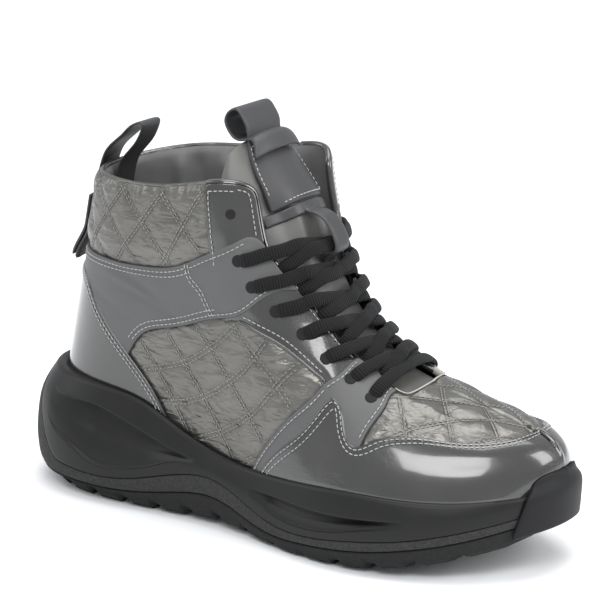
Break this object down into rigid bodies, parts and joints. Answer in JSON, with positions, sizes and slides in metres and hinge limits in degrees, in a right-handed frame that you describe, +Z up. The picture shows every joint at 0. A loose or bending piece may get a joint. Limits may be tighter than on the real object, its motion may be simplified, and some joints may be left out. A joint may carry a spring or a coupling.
{
  "type": "high-top sneaker boot, right shoe",
  "caption": "Right high-top sneaker boot in gunmetal grey leather and quilted fabric, dark laces, pull loops and a chunky wrapped rubber sole.",
  "frame": {"origin": "bottom centre of the overall box, on the floor plane under the tread", "axes": "+X towards the toe, +Y towards the inner side of the foot, +Z up"},
  "size_m": [0.2909, 0.1139, 0.1987],
  "materials": {
    "grey_leather": "matte",
    "strap_leather": "satin",
    "smooth_foam": "satin",
    "wedge_foam": "matte",
    "tread_rubber": "matte",
    "bumper_rubber": "satin",
    "insole_fabric": "matte",
    "tongue_fabric": "matte",
    "lace_fabric": "matte",
    "pad_fabric": "matte"
  },
  "bodies": {
    "root": {"upper": "grey_leather", "tongue": "tongue_fabric", "laces": "lace_fabric", "tongue_pull_loop": "strap_leather", "lace_keeper": "strap_leather", "heel_pull_loop": "strap_leather", "heel_tab": "strap_leather", "heel_tab_pad": "pad_fabric", "insole": "insole_fabric", "midsole": "smooth_foam", "wedge": "wedge_foam", "outsole": "tread_rubber", "toe_bumper": "bumper_rubber"}
  },
  "joints": []
}
